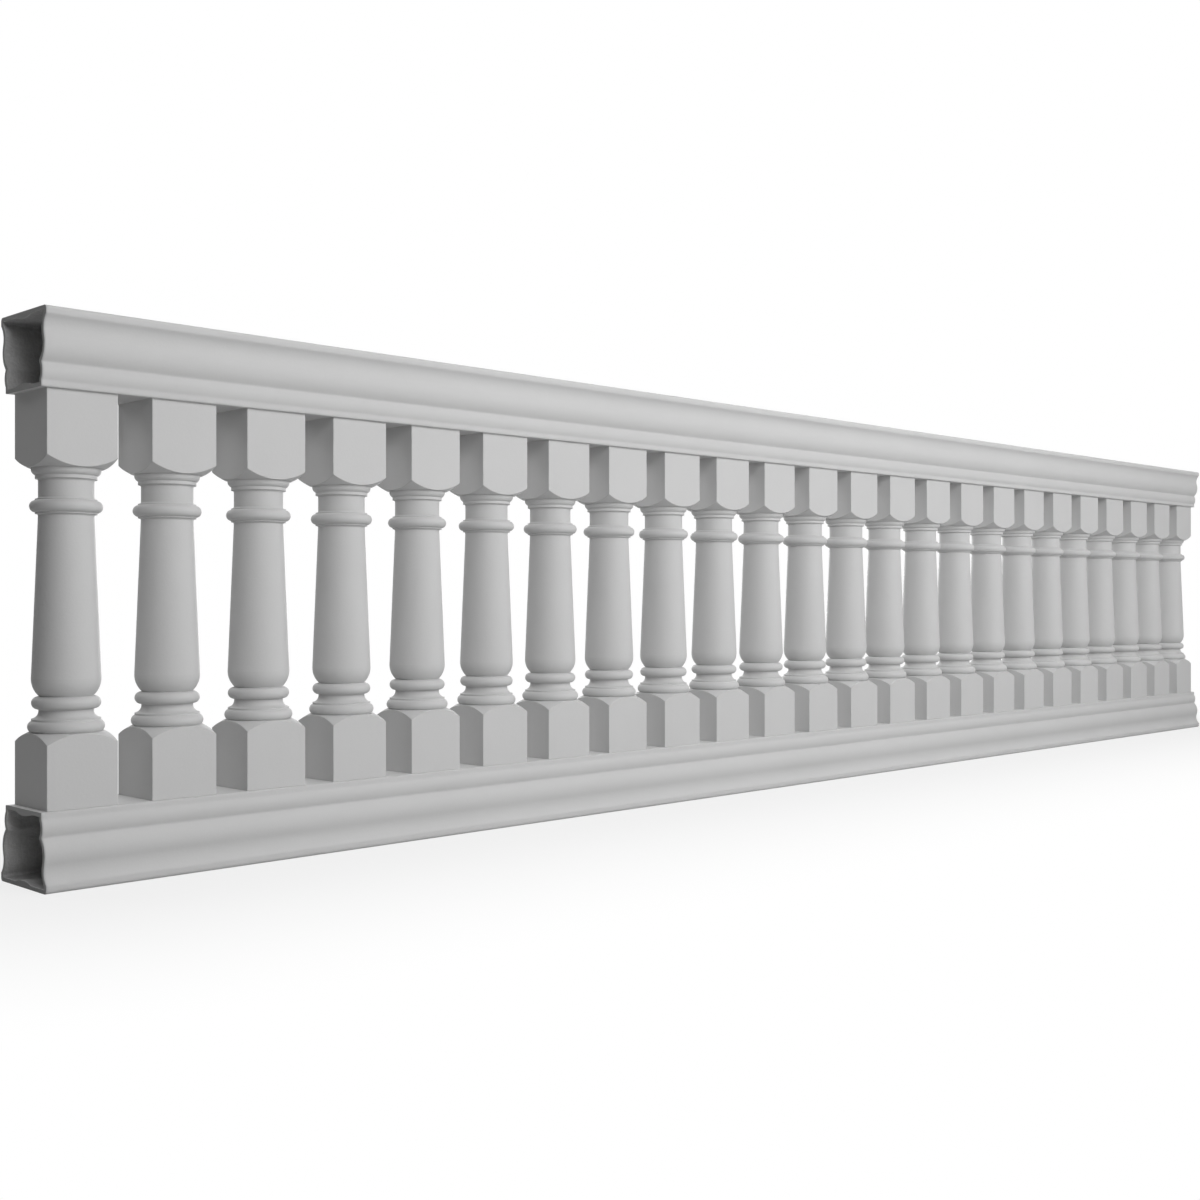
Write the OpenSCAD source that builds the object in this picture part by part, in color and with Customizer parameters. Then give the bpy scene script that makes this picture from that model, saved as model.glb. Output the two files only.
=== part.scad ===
// Fiberglass balustrade section: two hollow moulded rails and a row of turned balusters.
// Millimetres. X runs along the rails, Y across them and Z is up. The origin lies on the
// underside of the bottom rail, at the middle of the section.

/* [Section] */
// Length of both rails
section_length = 3657.6; // [3300:0.1:4800]
// Number of balusters between the rails
baluster_count = 24; // [10:1:30]
// Length of rail left clear beyond the first and the last baluster
end_margin = 10.5; // [0:0.5:30]

/* [Rail] */
// Height of each rail
rail_height = 107.3; // [106:0.1:112]
// Width of a rail across its two fascia bands
rail_width = 142.5; // [140:0.5:146]
// Thickness of the moulded wall
rail_wall = 5.5; // [4:0.5:7]
// Rounding of the outer corners of the wide face
rail_corner_r = 5; // [2:0.5:8]
// Width of a rail at the deepest line of the cove
cove_width = 126.4; // [124:0.2:128]
// Radius of the cove beside the fascia band
cove_r = 26; // [24:0.5:28]
// Height of the deepest line of the cove above the wide face
cove_z = 30.3; // [29.5:0.1:31.5]
// Width of a rail across the crests of its swelled sides
crest_width = 133; // [132:0.2:135]
// Radius of the swell
crest_r = 33; // [31:0.5:35]
// Width of a rail at the crease between swell and bead
crease_width = 112.4; // [111:0.2:114]
// Width of a rail across its beads
bead_width = 119.8; // [118:0.2:121]
// Radius of the bead
bead_r = 22; // [20:0.5:24]
// Width of the narrow face that carries the baluster blocks
seat_width = 112.4; // [110.4:0.2:113.4]
// Width of the stiffening ribs inside the wide and the narrow face
rib_width = 48; // [36:1:56]
// Height of the stiffening ribs
rib_height = 4; // [2:0.5:5]

/* [Baluster] */
// Overall height of a baluster
baluster_height = 571.5; // [520:0.5:640]
// Side of the square end blocks
block_side = 101.8; // [101:0.2:104]
// Rounding of the four upright arrises of a block
arris_r = 0.5; // [0.5:0.5:3]
// Height of the bottom block, up to the turned mouldings
bottom_block_height = 102.4; // [98:0.1:108]
// Height of the top block, down to the turned mouldings
top_block_height = 103.6; // [98:0.1:108]
// Distance from the axis at which the round shoulder of a block begins
shoulder_start_r = 50.4; // [47:0.2:50.4]
// Height from there down to the shoulder's corners
shoulder_drop = 14.2; // [13:0.2:20]
// Radius of the neck, and of the shaft at its top
neck_r = 37.1; // [36:0.1:38]
// Radius of the shaft at its widest, above the foot
belly_r = 46.4; // [45:0.1:47]
// Radius, in section, of the rounded foot of the shaft
foot_r = 33.5; // [32:0.5:35]

/* [Hidden] */

finish = [0.78, 0.78, 0.78];
section_height = 2 * rail_height + baluster_height;
baluster_pitch = (section_length - 2 * end_margin - block_side) / (baluster_count - 1);
first_baluster_x = -section_length / 2 + end_margin + block_side / 2;

// The moulded side of a rail, from the wide face to the narrow one: band, cove, swell,
// bead and seat. Each arc begins where the last one ends, so the angles follow the widths.
arc_step = 6;
cove_low_angle = acos((cove_width / 2 + cove_r - rail_width / 2) / cove_r);
join_angle = acos(1 - (crest_width - cove_width) / 2 / (cove_r + crest_r));
crest_z = cove_z + (cove_r + crest_r) * sin(join_angle);
crease_angle = acos(1 - (crest_width - crease_width) / 2 / crest_r);
crease_z = crest_z + crest_r * sin(crease_angle);
bead_low_angle = acos(1 - (bead_width - crease_width) / 2 / bead_r);
bead_high_angle = acos(1 - (bead_width - seat_width) / 2 / bead_r);
bead_z = crease_z + bead_r * sin(bead_low_angle);
seat_corner_r = 1.5;
rib_r = (rib_width * rib_width / 4 + rib_height * rib_height) / (2 * rib_height);
rib_angle = asin(rib_width / 2 / rib_r);

// The shoulder is part of a sphere, which meets the block's end at shoulder_start_r and
// its arrises shoulder_drop below that.
corner_r = block_side / sqrt(2);
shoulder_reach = (pow(corner_r, 2) - pow(shoulder_start_r, 2)) / shoulder_drop;
shoulder_depth = (shoulder_reach + shoulder_drop) / 2;
shoulder_r = norm([shoulder_start_r, shoulder_depth]);

// Turned mouldings. Those of the head are placed by their drop below the baluster's top
// and those of the base by their height above its bottom. The shaft takes the rest.
turning_fn = 96;
section_fn = 40;
arris_fn = 16;
overlap = 0.5;
fillet_r = 41.2;
cavetto_r = 3;
ovolo_outer_r = 46.5;
ovolo_r = 9.2;
ovolo_drop = top_block_height + 1.8;
head_fillet_drop = top_block_height + 15.1;
collar_top_drop = top_block_height + 42.9;
collar_drop = top_block_height + 53.1;
collar_low_drop = top_block_height + 63.6;
collar_outer_r = 48.7;
collar_bead_r = 8.5;
shaft_top_z = baluster_height - collar_low_drop;
base_ring_z = bottom_block_height + 7.4;
base_ring_outer_r = 51.2;
base_bead_r = 9;
base_fillet_r = 46.1;
scotia_floor_r = 36.6;
scotia_r = 11;
scotia_z = bottom_block_height + 29.3;
foot_ring_z = bottom_block_height + 40.3;
foot_ring_outer_r = 46.1;
foot_bead_r = 8.8;
foot_neck_r = 36;
belly_z = bottom_block_height + 73.8;

function baluster_name(i) = str("baluster_", i < 10 ? "0" : "", i);

function arc(centre, r, from, to) =
    let (steps = ceil(abs(to - from) / arc_step))
    [for (i = [0:steps])
        let (a = from + (to - from) * i / steps)
        centre + r * [cos(a), sin(a)]];

// A line without its first point, to follow one that ends there.
function onward(line) = [for (i = [1:len(line) - 1]) line[i]];

// A line mirrored to the other side, and run backwards.
function mirrored(line) = [for (i = [len(line) - 1:-1:0]) [-line[i][0], line[i][1]]];

// Outward normal of the stretch from p to q, on a side that faces +Y and climbs.
function outward(p, q) = [q[1] - p[1], p[0] - q[0]] / norm(q - p);

// The line moved inwards by t, its corners mitred.
function inset(line, t) =
    let (last = len(line) - 1)
    [for (i = [0:last])
        let (
            j = max(i - 1, 0),
            k = min(i, last - 1),
            before = outward(line[j], line[j + 1]),
            after = outward(line[k], line[k + 1])
        )
        line[i] - t * (before + after) / (1 + before * after)];

rail_mouldings = concat(
    arc([cove_width / 2 + cove_r, cove_z], cove_r, 180 + cove_low_angle, 180 - join_angle),
    onward(arc([crest_width / 2 - crest_r, crest_z], crest_r, -join_angle, crease_angle)),
    onward(arc([bead_width / 2 - bead_r, bead_z], bead_r, -bead_low_angle, bead_high_angle))
);
rail_side = concat(
    arc([rail_width / 2 - rail_corner_r, rail_corner_r], rail_corner_r, -90, 0),
    rail_mouldings,
    arc([seat_width / 2 - seat_corner_r, rail_height - seat_corner_r], seat_corner_r, 0, 90)
);
rail_square_side = concat(
    [[rail_width / 2, 0]],
    rail_mouldings,
    [[seat_width / 2, rail_height]]
);

// A stiffening rib on the inner face of a wide or narrow wall.
module rib_outline() {
    translate([0, rib_height - rib_r])
        polygon(arc([0, 0], rib_r, 90 - rib_angle - 3, 90 + rib_angle + 3));
}

// The hollow of a rail, its sides parallel to the outside.
module hollow_outline() {
    side = inset(rail_square_side, rail_wall);
    difference() {
        intersection() {
            polygon(concat(side, mirrored(side)));
            translate([-rail_width / 2, rail_wall])
                square([rail_width, rail_height - 2 * rail_wall]);
        }
        translate([0, rail_wall]) rib_outline();
        translate([0, rail_height - rail_wall]) mirror([0, 1]) rib_outline();
    }
}

// A rail that stands on its wide face.
module rail() {
    rotate([90, 0, 90])
        linear_extrude(section_length, center = true)
            difference() {
                polygon(concat(rail_side, mirrored(rail_side)));
                hollow_outline();
            }
}

module bottom_rail() color(finish) rail();

module top_rail() color(finish) translate([0, 0, section_height]) mirror([0, 0, 1]) rail();

// Half outlines of turned forms: distance from the axis across, height upwards.
module disc(r, low, high) {
    translate([0, low]) square([r, high - low]);
}

module round_at(centre_r, z, r) {
    translate([centre_r, z]) circle(r = r, $fn = section_fn);
}

// A bead all round a core.
module ring(outer_r, bead_r, z) {
    round_at(outer_r - bead_r, z, bead_r);
    disc(outer_r - bead_r, z - bead_r, z + bead_r);
}

// A quarter round that runs from a ledge at height z inwards and on to z + r.
module quarter_round(outer_r, r, z) {
    intersection() {
        round_at(outer_r - r, z, r);
        disc(outer_r, z, z + r);
    }
    disc(outer_r - r, z, z + r);
}

// A hollow quarter from a ledge at height z to a core; way says whether it runs up or down.
module hollow_quarter(core_r, r, z, way) {
    end = z + way * r;
    difference() {
        disc(core_r + r, min(z, end), max(z, end));
        round_at(core_r + r, end, r);
    }
}

// Mouldings between the top block and the shaft, drawn from the baluster's top down.
module head_outline() {
    disc(ovolo_outer_r, top_block_height - overlap, ovolo_drop);
    quarter_round(ovolo_outer_r, ovolo_r, ovolo_drop);
    disc(fillet_r, ovolo_drop, head_fillet_drop);
    hollow_quarter(neck_r, cavetto_r, head_fillet_drop, 1);
    disc(neck_r, ovolo_drop, collar_drop);
    hollow_quarter(neck_r, cavetto_r, collar_top_drop, -1);
    disc(fillet_r, collar_top_drop, collar_low_drop);
    ring(collar_outer_r, collar_bead_r, collar_drop);
    hollow_quarter(neck_r, cavetto_r, collar_low_drop, 1);
}

// The tapered shaft with its rounded foot.
module shaft_outline() {
    polygon([[0, belly_z], [belly_r, belly_z], [neck_r, shaft_top_z], [0, shaft_top_z]]);
    intersection() {
        round_at(belly_r - foot_r, belly_z, foot_r);
        disc(belly_r, foot_ring_z, belly_z + overlap);
    }
    disc(foot_neck_r, foot_ring_z, belly_z);
}

// Mouldings between the bottom block and the foot of the shaft.
module base_outline() {
    ring(base_ring_outer_r, base_bead_r, base_ring_z);
    disc(base_fillet_r, base_ring_z, scotia_z - scotia_r);
    disc(scotia_floor_r, base_ring_z, foot_ring_z);
    difference() {
        disc(base_fillet_r, scotia_z - scotia_r - overlap, scotia_z);
        round_at(scotia_floor_r + scotia_r, scotia_z, scotia_r);
    }
    ring(foot_ring_outer_r, foot_bead_r, foot_ring_z);
}

module turned_part() {
    rotate_extrude($fn = turning_fn) {
        base_outline();
        shaft_outline();
        translate([0, baluster_height]) mirror([0, 1]) head_outline();
    }
}

// Cross-section of a square block with its arrises eased.
module block_outline() {
    flat = block_side - 2 * arris_r;
    square([block_side, flat], center = true);
    square([flat, block_side], center = true);
    for (x = [-flat / 2, flat / 2], y = [-flat / 2, flat / 2])
        translate([x, y]) circle(r = arris_r, $fn = arris_fn);
}

// A block that stands on its square end. A sphere rounds off the other end's corners.
module block(height) {
    intersection() {
        linear_extrude(height) block_outline();
        translate([0, 0, height - shoulder_depth]) sphere(r = shoulder_r, $fn = turning_fn);
    }
}

module baluster(i) {
    color(finish)
        translate([first_baluster_x + (i - 1) * baluster_pitch, 0, rail_height]) {
            block(bottom_block_height);
            turned_part();
            translate([0, 0, baluster_height]) mirror([0, 0, 1]) block(top_block_height);
        }
}

bottom_rail();
top_rail();
for (i = [1:baluster_count])
    baluster(i);
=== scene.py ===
"""Looks of the fiberglass balustrade section: gelcoat, laminate, floor, light and camera.

Lengths are in metres and angles in radians, unless a name says otherwise.
"""
import math

import bpy
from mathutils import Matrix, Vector

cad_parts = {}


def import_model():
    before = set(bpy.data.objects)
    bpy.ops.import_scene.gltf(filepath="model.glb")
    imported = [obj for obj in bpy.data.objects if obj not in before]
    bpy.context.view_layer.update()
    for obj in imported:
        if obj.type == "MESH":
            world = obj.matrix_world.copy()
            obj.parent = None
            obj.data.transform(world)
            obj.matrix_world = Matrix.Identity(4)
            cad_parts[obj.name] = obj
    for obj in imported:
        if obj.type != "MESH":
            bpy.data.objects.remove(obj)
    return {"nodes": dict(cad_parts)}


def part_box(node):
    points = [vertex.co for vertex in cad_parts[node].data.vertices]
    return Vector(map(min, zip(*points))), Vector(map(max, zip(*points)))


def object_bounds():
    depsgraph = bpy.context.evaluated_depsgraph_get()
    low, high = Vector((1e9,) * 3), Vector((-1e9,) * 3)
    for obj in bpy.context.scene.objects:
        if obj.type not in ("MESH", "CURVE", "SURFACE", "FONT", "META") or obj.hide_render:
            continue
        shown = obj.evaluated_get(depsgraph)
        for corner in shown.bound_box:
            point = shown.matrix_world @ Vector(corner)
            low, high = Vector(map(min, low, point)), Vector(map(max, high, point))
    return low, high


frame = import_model()
cad_low, cad_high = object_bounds()

# Camera: level, at mid-height, looking across the section at 45 degrees from beyond its left end.
# The focal length is given as a share of the sensor's width. The reach is well past the floor.
CAMERA_AZIMUTH = math.radians(45)
CAMERA_LEFT_OF_END = 0.8616
CAMERA_IN_FRONT = 1.9745
CAMERA_SHIFT = -0.0004
CAMERA_REACH = 100
SENSOR_WIDTH_MM = 36
FOCAL_SHARE = 1.2253

# Smoothing of the rails. Corners within the weld distance are one corner, and faces that meet
# at less than the sharp angle are strips of one curve.
WELD_DISTANCE = 0.00002
SHARP_ANGLE = math.radians(10)

# Shading is eased over edges and creases within these radii.
RAIL_EDGE_RADIUS = 0.0054
BALUSTER_EDGE_RADIUS = 0.0015
BEVEL_SAMPLES = 8

# A face of a rail is a sawn end where its normal has at least this share along the rail.
END_FACING = 0.7

# Mean greys of the finishes, and how far each texture strays from them to either side.
GELCOAT_GREY = 0.56
LAMINATE_GREY = 0.52
SAWN_GREY = 0.38
MOTTLE_TONE = 0.016
SPECKLE_TONE = 0.014
STRAND_TONE = 0.05
GRAIN_TONE = 0.04

# Sheen: specular level, and the roughness at either end of each texture.
SPECULAR = 0.12
GELCOAT_ROUGHNESS = (0.62, 0.74)
LAMINATE_ROUGHNESS = (0.62, 0.45)
SAWN_ROUGHNESS = (0.70, 0.85)

# Textures: noise cells to the metre, for the marks of the saw along x, y and z.
MOTTLE_SCALE = 7.0
SHEEN_SCALE = 26.0
PEEL_SCALE = 260.0
SPECKLE_SCALE = 700.0
GRIT_SCALE = 1900.0
GRAIN_SCALE = 1300.0
SAW_MARK_SCALES = (200.0, 60.0, 1500.0)

# Chopped strands: size, the ways they lie, and the noise levels at which one rises and tops out.
STRAND_LENGTH = 0.045
STRAND_WIDTH = 0.0022
STRAND_TURNS = (0.3, 1.1, 1.9, 2.7)
STRAND_LEVELS = (0.5, 0.75)

# Bumps: strength and height.
PEEL_BUMP = (0.25, 0.0004)
GRIT_BUMP = (0.2, 0.0001)
STRAND_BUMP = (0.4, 0.0004)
SAWN_BUMP = (0.25, 0.0003)

# White surround. Near the section the floor is seen as mostly white, with a faint shadow and a
# painted shade that darkens it towards the section, and beyond the distance given last as plain
# white.
SEEN_WHITE = 1.0
FLOOR_HALF = 14.0
FLOOR_GREY = 0.5
FLOOR_ROUGHNESS = 0.9
PAINTED_SHADE_WHITE_SHARE = 0.8
PAINTED_SHADE_REACH = 0.7

# Soft lamps: name, place, point aimed at, width, height, watts.
LAMPS = (
    ("key", (0.1, -2.2, 1.5), (0.1, 0, 0.4), 5.0, 2.0, 78),
    ("front_left", (-3.0, -4.5, 3.0), (0, 0, 0.4), 2.0, 2.0, 41),
    ("top", (0.5, 0, 4.0), (0.5, 0, 0), 6.0, 2.0, 45),
    ("rear_right", (3.0, 4.5, 0.75), (0, 0, 0.75), 2.0, 1.4, 157),
    ("rear_high", (0, 4.5, 3.0), (0, 0, 0.4), 8.0, 2.0, 200),
)


def grey(level):
    return (level, level, level, 1.0)


def new_object(name, data):
    obj = bpy.data.objects.new(name, data)
    bpy.context.scene.collection.objects.link(obj)
    return obj


class Graph:
    """Short forms for adding and joining nodes."""

    def __init__(self, tree):
        self.nodes = tree.nodes
        self.links = tree.links

    def add(self, kind, inputs=None, **settings):
        node = self.nodes.new(kind)
        for name, value in settings.items():
            setattr(node, name, value)
        for name, value in (inputs or {}).items():
            self.put(node.inputs[name], value)
        return node

    def put(self, socket, value):
        if isinstance(value, bpy.types.NodeSocket):
            self.links.new(value, socket)
        else:
            socket.default_value = value

    def noise(self, where, scale, detail=2.0):
        node = self.add("ShaderNodeTexNoise", {"Vector": where, "Scale": scale, "Detail": detail})
        return node.outputs["Fac"]

    def spread(self, value, low, high, start=0.0, end=1.0, curve="LINEAR"):
        """Maps a value from start to end onto low to high."""
        node = self.add(
            "ShaderNodeMapRange",
            {"Value": value, "From Min": start, "From Max": end, "To Min": low, "To Max": high},
            interpolation_type=curve,
        )
        return node.outputs["Result"]

    def sway(self, value, reach):
        """Maps a value from 0 to 1 onto -reach to reach."""
        return self.spread(value, -reach, reach)

    def math(self, operation, *values):
        node = self.add("ShaderNodeMath", operation=operation)
        for socket, value in zip(node.inputs, values):
            self.put(socket, value)
        return node.outputs[0]

    def vector(self, operation, *values):
        node = self.add("ShaderNodeVectorMath", operation=operation)
        for socket, value in zip(node.inputs, values):
            self.put(socket, value)
        gives_number = operation in ("DOT_PRODUCT", "LENGTH")
        return node.outputs["Value" if gives_number else "Vector"]

    def eased(self, radius):
        """Normal that turns gradually over an edge or a crease."""
        node = self.add("ShaderNodeBevel", {"Radius": radius}, samples=BEVEL_SAMPLES)
        return node.outputs["Normal"]

    def bump(self, height, strength, distance, normal):
        node = self.add(
            "ShaderNodeBump",
            {"Height": height, "Strength": strength, "Distance": distance, "Normal": normal},
        )
        return node.outputs["Normal"]


def new_material(name):
    material = bpy.data.materials.new(name)
    material.use_nodes = True
    graph = Graph(material.node_tree)
    return material, graph, graph.nodes["Principled BSDF"]


class Finish:
    """Grey tone, roughness and surface normal of one finish."""

    def __init__(self, tone, roughness, normal):
        self.tone = tone
        self.roughness = roughness
        self.normal = normal


def gelcoat(graph, place, normal):
    """Sprayed gelcoat: a faint mottle and speckle, orange peel and a slightly uneven sheen."""
    mottle = graph.sway(graph.noise(place, MOTTLE_SCALE, detail=3.0), MOTTLE_TONE)
    speckle = graph.sway(graph.noise(place, SPECKLE_SCALE), SPECKLE_TONE)
    tone = graph.math("ADD", graph.math("ADD", mottle, speckle), GELCOAT_GREY)
    roughness = graph.spread(graph.noise(place, SHEEN_SCALE, detail=3.0), *GELCOAT_ROUGHNESS)
    peel = graph.bump(graph.noise(place, PEEL_SCALE, detail=1.0), *PEEL_BUMP, normal)
    return Finish(tone, roughness, graph.bump(graph.noise(place, GRIT_SCALE), *GRIT_BUMP, peel))


def laminate(graph, place, normal):
    """Resin over chopped strands, which lie in several directions and stand a little proud."""
    size = (STRAND_LENGTH, STRAND_WIDTH, STRAND_WIDTH)
    highest = None
    for turn in STRAND_TURNS:
        lying = graph.add(
            "ShaderNodeMapping",
            {"Vector": place, "Rotation": (0, turn, turn), "Scale": size},
            vector_type="TEXTURE",
        )
        layer = graph.noise(lying.outputs["Vector"], 1.0, detail=1.0)
        highest = layer if highest is None else graph.math("MAXIMUM", highest, layer)
    strands = graph.spread(highest, 0.0, 1.0, *STRAND_LEVELS)
    tone = graph.math("ADD", graph.sway(strands, STRAND_TONE), LAMINATE_GREY)
    roughness = graph.spread(strands, *LAMINATE_ROUGHNESS)
    return Finish(tone, roughness, graph.bump(strands, *STRAND_BUMP, normal))


def sawn(graph, place, normal):
    """Sawn edge of the laminate: fine grain and shallow marks of the blade."""
    grain = graph.noise(place, GRAIN_SCALE)
    stretched = graph.add("ShaderNodeMapping", {"Vector": place, "Scale": SAW_MARK_SCALES})
    marks = graph.noise(stretched.outputs["Vector"], 1.0)
    tone = graph.math("ADD", graph.sway(grain, GRAIN_TONE), SAWN_GREY)
    roughness = graph.spread(grain, *SAWN_ROUGHNESS)
    height = graph.math("ADD", grain, marks)
    return Finish(tone, roughness, graph.bump(height, *SAWN_BUMP, normal))


def blend(graph, share, low, high):
    """One finish where share is 0 and another where it is 1."""

    def mix(kind, first, second):
        node = graph.add("ShaderNodeMix", data_type=kind)
        sockets = [socket for socket in node.inputs if socket.enabled]
        for socket, value in zip(sockets, (share, first, second)):
            graph.put(socket, value)
        return next(socket for socket in node.outputs if socket.enabled)

    return Finish(
        mix("FLOAT", low.tone, high.tone),
        mix("FLOAT", low.roughness, high.roughness),
        mix("VECTOR", low.normal, high.normal),
    )


def coat(graph, shader, finish):
    colour = graph.add(
        "ShaderNodeCombineColor", {"Red": finish.tone, "Green": finish.tone, "Blue": finish.tone}
    )
    graph.put(shader.inputs["Base Color"], colour.outputs["Color"])
    graph.put(shader.inputs["Roughness"], finish.roughness)
    graph.put(shader.inputs["Normal"], finish.normal)
    shader.inputs["Specular IOR Level"].default_value = SPECULAR


def baluster_material(name):
    material, graph, shader = new_material(name)
    place = graph.add("ShaderNodeTexCoord").outputs["Object"]
    coat(graph, shader, gelcoat(graph, place, graph.eased(BALUSTER_EDGE_RADIUS)))
    return material


def rail_material(name, axis_height):
    """Gelcoat where a rail faces away from its axis, laminate where it faces it, sawn ends."""
    material, graph, shader = new_material(name)
    place = graph.add("ShaderNodeTexCoord").outputs["Object"]
    geometry = graph.add("ShaderNodeNewGeometry")
    facing = geometry.outputs["True Normal"]
    from_axis = graph.vector("SUBTRACT", place, (0, 0, axis_height))
    across = graph.vector("MULTIPLY", from_axis, (0, 1, 1))
    inside = graph.math("LESS_THAN", graph.vector("DOT_PRODUCT", across, facing), 0.0)
    along = graph.vector("DOT_PRODUCT", facing, (1, 0, 0))
    on_end = graph.math("GREATER_THAN", graph.math("ABSOLUTE", along), END_FACING)
    eased = graph.eased(RAIL_EDGE_RADIUS)
    sides = blend(graph, inside, gelcoat(graph, place, eased), laminate(graph, place, eased))
    ends = sawn(graph, place, geometry.outputs["Normal"])
    coat(graph, shader, blend(graph, on_end, sides, ends))
    return material


def smoothing():
    """Node group that welds a rail's split corners and shades the strips of its curves smooth."""
    group = bpy.data.node_groups.new("smoothing", "GeometryNodeTree")
    for way in ("INPUT", "OUTPUT"):
        group.interface.new_socket("Mesh", in_out=way, socket_type="NodeSocketGeometry")
    graph = Graph(group)
    mesh = graph.add("NodeGroupInput").outputs[0]
    weld = graph.add("GeometryNodeMergeByDistance", {"Geometry": mesh, "Distance": WELD_DISTANCE})
    faces = graph.add(
        "GeometryNodeSetShadeSmooth", {"Geometry": weld.outputs[0], "Shade Smooth": True}
    )
    angle = graph.add("GeometryNodeInputMeshEdgeAngle").outputs["Unsigned Angle"]
    curved = graph.math("LESS_THAN", angle, SHARP_ANGLE)
    edges = graph.add(
        "GeometryNodeSetShadeSmooth",
        {"Geometry": faces.outputs[0], "Shade Smooth": curved},
        domain="EDGE",
    )
    graph.add("NodeGroupOutput", {0: edges.outputs[0]})
    return group


def finish_nodes():
    """Gives every node its material, and the rails their smoothing."""
    group = smoothing()
    turned = baluster_material("baluster_gelcoat")
    for name, obj in frame["nodes"].items():
        obj.data.materials.clear()
        if name.endswith("rail"):
            low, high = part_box(name)
            moulded = rail_material(name + "_gelcoat", (low.z + high.z) / 2)
            obj.data.materials.append(moulded)
            obj.modifiers.new("smoothing", "NODES").node_group = group
            obj.modifiers.new("flat_faces", "WEIGHTED_NORMAL").keep_sharp = True
        else:
            obj.data.materials.append(turned)


def seen_rays(graph):
    """1 for rays from the camera, off a glossy surface or through glass, and 0 for all others."""
    path = graph.add("ShaderNodeLightPath")
    seen = graph.math("MAXIMUM", path.outputs["Is Camera Ray"], path.outputs["Is Glossy Ray"])
    return graph.math("MAXIMUM", seen, path.outputs["Is Transmission Ray"])


def floor_material(name):
    """Matte grey for the light that falls on it, and for the eye a white that keeps the shadow,
    with a painted shade that darkens it near the section.
    """
    material, graph, shader = new_material(name)
    shader.inputs["Base Color"].default_value = grey(FLOOR_GREY)
    shader.inputs["Roughness"].default_value = FLOOR_ROUGHNESS
    shader.inputs["Specular IOR Level"].default_value = 0.0
    white = graph.add("ShaderNodeEmission", {"Strength": SEEN_WHITE})
    place = graph.add("ShaderNodeTexCoord").outputs["Object"]
    outside = graph.vector("SUBTRACT", graph.vector("ABSOLUTE", place), cad_high)
    distance = graph.vector("LENGTH", graph.vector("MAXIMUM", outside, (0, 0, 0)))
    # Painted shade: near the section less of the seen white is mixed in, so the floor darkens
    # towards it whatever the light.
    painted_shade_fade = graph.spread(distance, PAINTED_SHADE_WHITE_SHARE, 1.0, 0.0, PAINTED_SHADE_REACH, "SMOOTHSTEP")
    share = graph.math("MULTIPLY", seen_rays(graph), painted_shade_fade)
    mix = graph.add("ShaderNodeMixShader", {0: share, 1: shader.outputs[0], 2: white.outputs[0]})
    graph.put(graph.nodes["Material Output"].inputs["Surface"], mix.outputs[0])
    return material


def floor():
    half = FLOOR_HALF
    mesh = bpy.data.meshes.new("floor")
    corners = [(-half, -half, 0), (half, -half, 0), (half, half, 0), (-half, half, 0)]
    mesh.from_pydata(corners, [], [(0, 1, 2, 3)])
    mesh.materials.append(floor_material("floor"))
    new_object("floor", mesh)


def world():
    """White where it is seen or reflected. All other light comes from the lamps."""
    studio = bpy.data.worlds.new("studio")
    studio.use_nodes = True
    bpy.context.scene.world = studio
    graph = Graph(studio.node_tree)
    background = graph.nodes["Background"]
    background.inputs["Color"].default_value = grey(1)
    strength = graph.math("MULTIPLY", seen_rays(graph), SEEN_WHITE)
    graph.put(background.inputs["Strength"], strength)


def lamps():
    for name, place, target, width, height, watts in LAMPS:
        data = bpy.data.lights.new(name, "AREA")
        data.shape = "RECTANGLE"
        data.size = width
        data.size_y = height
        data.energy = watts
        lamp = new_object(name, data)
        lamp.location = place
        lamp.rotation_euler = (Vector(place) - Vector(target)).to_track_quat("Z", "Y").to_euler()
        lamp.visible_camera = False


def camera():
    data = bpy.data.cameras.new("camera")
    data.sensor_width = SENSOR_WIDTH_MM
    data.lens = SENSOR_WIDTH_MM * FOCAL_SHARE
    data.shift_y = CAMERA_SHIFT
    data.clip_end = CAMERA_REACH
    middle = (cad_low + cad_high) / 2
    view = new_object("camera", data)
    view.location = (cad_low.x - CAMERA_LEFT_OF_END, -CAMERA_IN_FRONT, middle.z)
    view.rotation_euler = (math.pi / 2, 0, -CAMERA_AZIMUTH)
    bpy.context.scene.camera = view


camera()
finish_nodes()
floor()
world()
lamps()
bpy.context.scene.view_settings.view_transform = "Standard"
